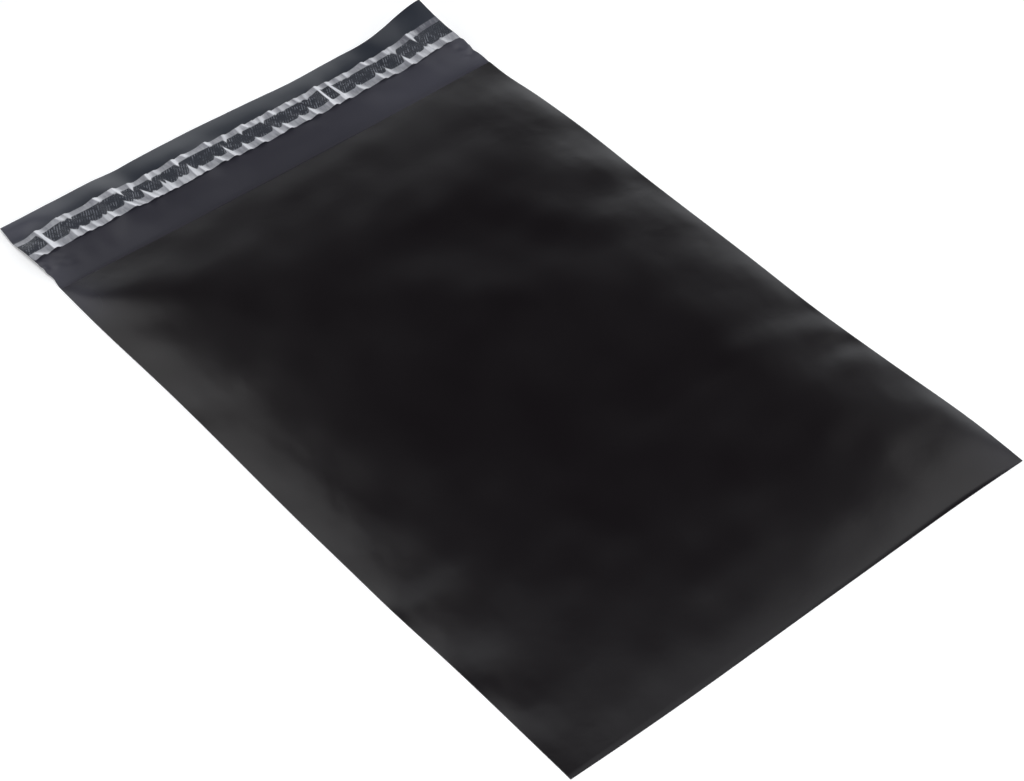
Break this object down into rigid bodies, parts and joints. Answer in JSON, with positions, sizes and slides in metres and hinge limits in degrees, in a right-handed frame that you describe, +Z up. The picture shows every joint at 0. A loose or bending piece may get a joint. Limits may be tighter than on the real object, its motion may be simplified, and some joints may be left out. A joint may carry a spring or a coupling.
{
  "type": "poly mailer bag",
  "caption": "Flat, empty mailer bag of black film, folded at the bottom and welded along the sides, with its flap open and an adhesive strip on it under a clear liner.",
  "frame": {"origin": "centre of the bag's outline on the surface that it lies on", "axes": "+Y along the bag from its bottom fold to the end of its flap, +Z up out of the front film, +X across it"},
  "size_m": [0.25, 0.4, 0.0109],
  "materials": {
    "black_film": "black polyethylene film with a satin surface",
    "hot_melt_adhesive": "clear hot-melt adhesive on the black film",
    "clear_liner": "clear release film, milky where it stands off the adhesive"
  },
  "bodies": {
    "root": {"bag_film": "black_film", "adhesive_strip": "hot_melt_adhesive", "release_liner": "clear_liner"}
  },
  "joints": []
}
